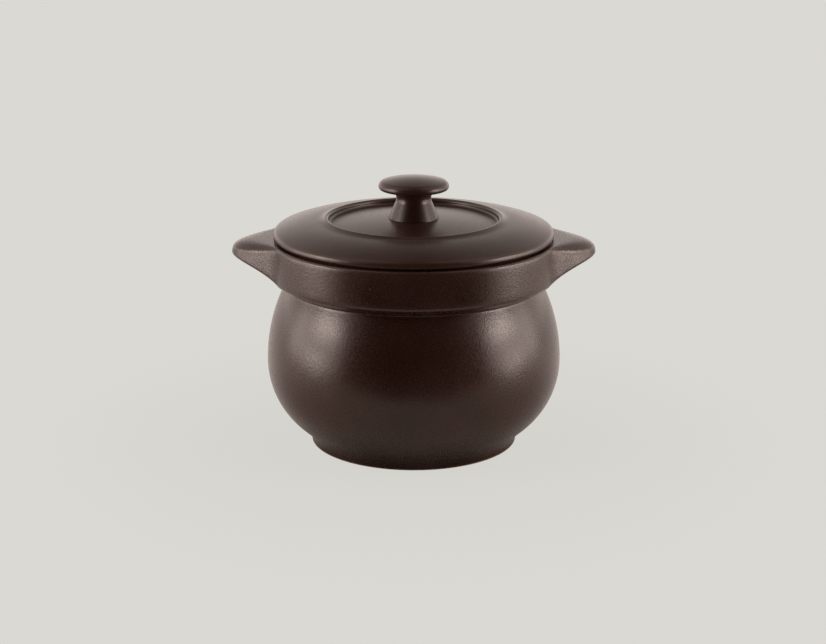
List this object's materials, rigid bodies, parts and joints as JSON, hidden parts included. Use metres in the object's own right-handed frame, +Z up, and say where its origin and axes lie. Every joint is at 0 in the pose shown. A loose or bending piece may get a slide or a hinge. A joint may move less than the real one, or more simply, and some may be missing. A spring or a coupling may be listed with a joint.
{
  "type": "lidded soup bowl",
  "caption": "Round-bellied ceramic soup bowl with a collar drawn out into lug handles and a loose lid with a sunken well and mushroom knob, in dark brown satin glaze.",
  "frame": {"origin": "on the table, under the middle of the pot", "axes": "+Z up along the axis of the pot, +X through the middle of one lug handle"},
  "size_m": [0.1438, 0.117, 0.1069],
  "materials": {
    "pot_glaze": "satin dark brown glaze, slightly grainy",
    "lid_glaze": "satin dark brown glaze, smooth"
  },
  "bodies": {
    "bowl": {"pot": "pot_glaze"},
    "cover": {"lid": "lid_glaze", "knob": "lid_glaze"}
  },
  "joints": [
    {"name": "lid_lift", "type": "slide", "parent": "bowl", "child": "cover", "axis": [0, 0, 1], "range_m": [0, 0.08]}
  ]
}
